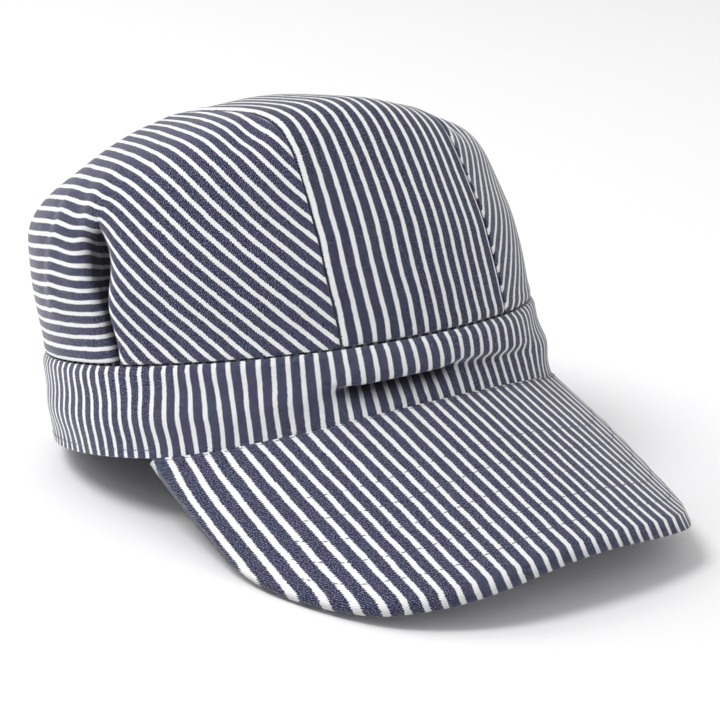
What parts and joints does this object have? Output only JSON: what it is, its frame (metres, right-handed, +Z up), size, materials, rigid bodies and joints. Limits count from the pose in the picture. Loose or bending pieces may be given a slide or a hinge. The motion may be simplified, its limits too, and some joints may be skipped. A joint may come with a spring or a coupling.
{
  "type": "railroad engineer cap",
  "caption": "Soft cloth work cap with a tall rounded crown, a pleat on each side, a plain headband and a long arched visor.",
  "frame": {"origin": "middle of the cap's outline seen from above, on the surface it rests on", "axes": "+Z up, -Y the way the visor points, +X to the wearer's left"},
  "size_m": [0.1886, 0.2798, 0.1439],
  "materials": {
    "band": "striped denim twill",
    "crown_strip": "striped denim twill",
    "side_panel_right": "striped denim twill",
    "side_panel_left": "striped denim twill",
    "visor": "striped denim twill, stitched in rows"
  },
  "bodies": {
    "root": {"band": "band", "crown_strip": "crown_strip", "side_panel_right": "side_panel_right", "side_panel_left": "side_panel_left", "visor": "visor"}
  },
  "joints": []
}
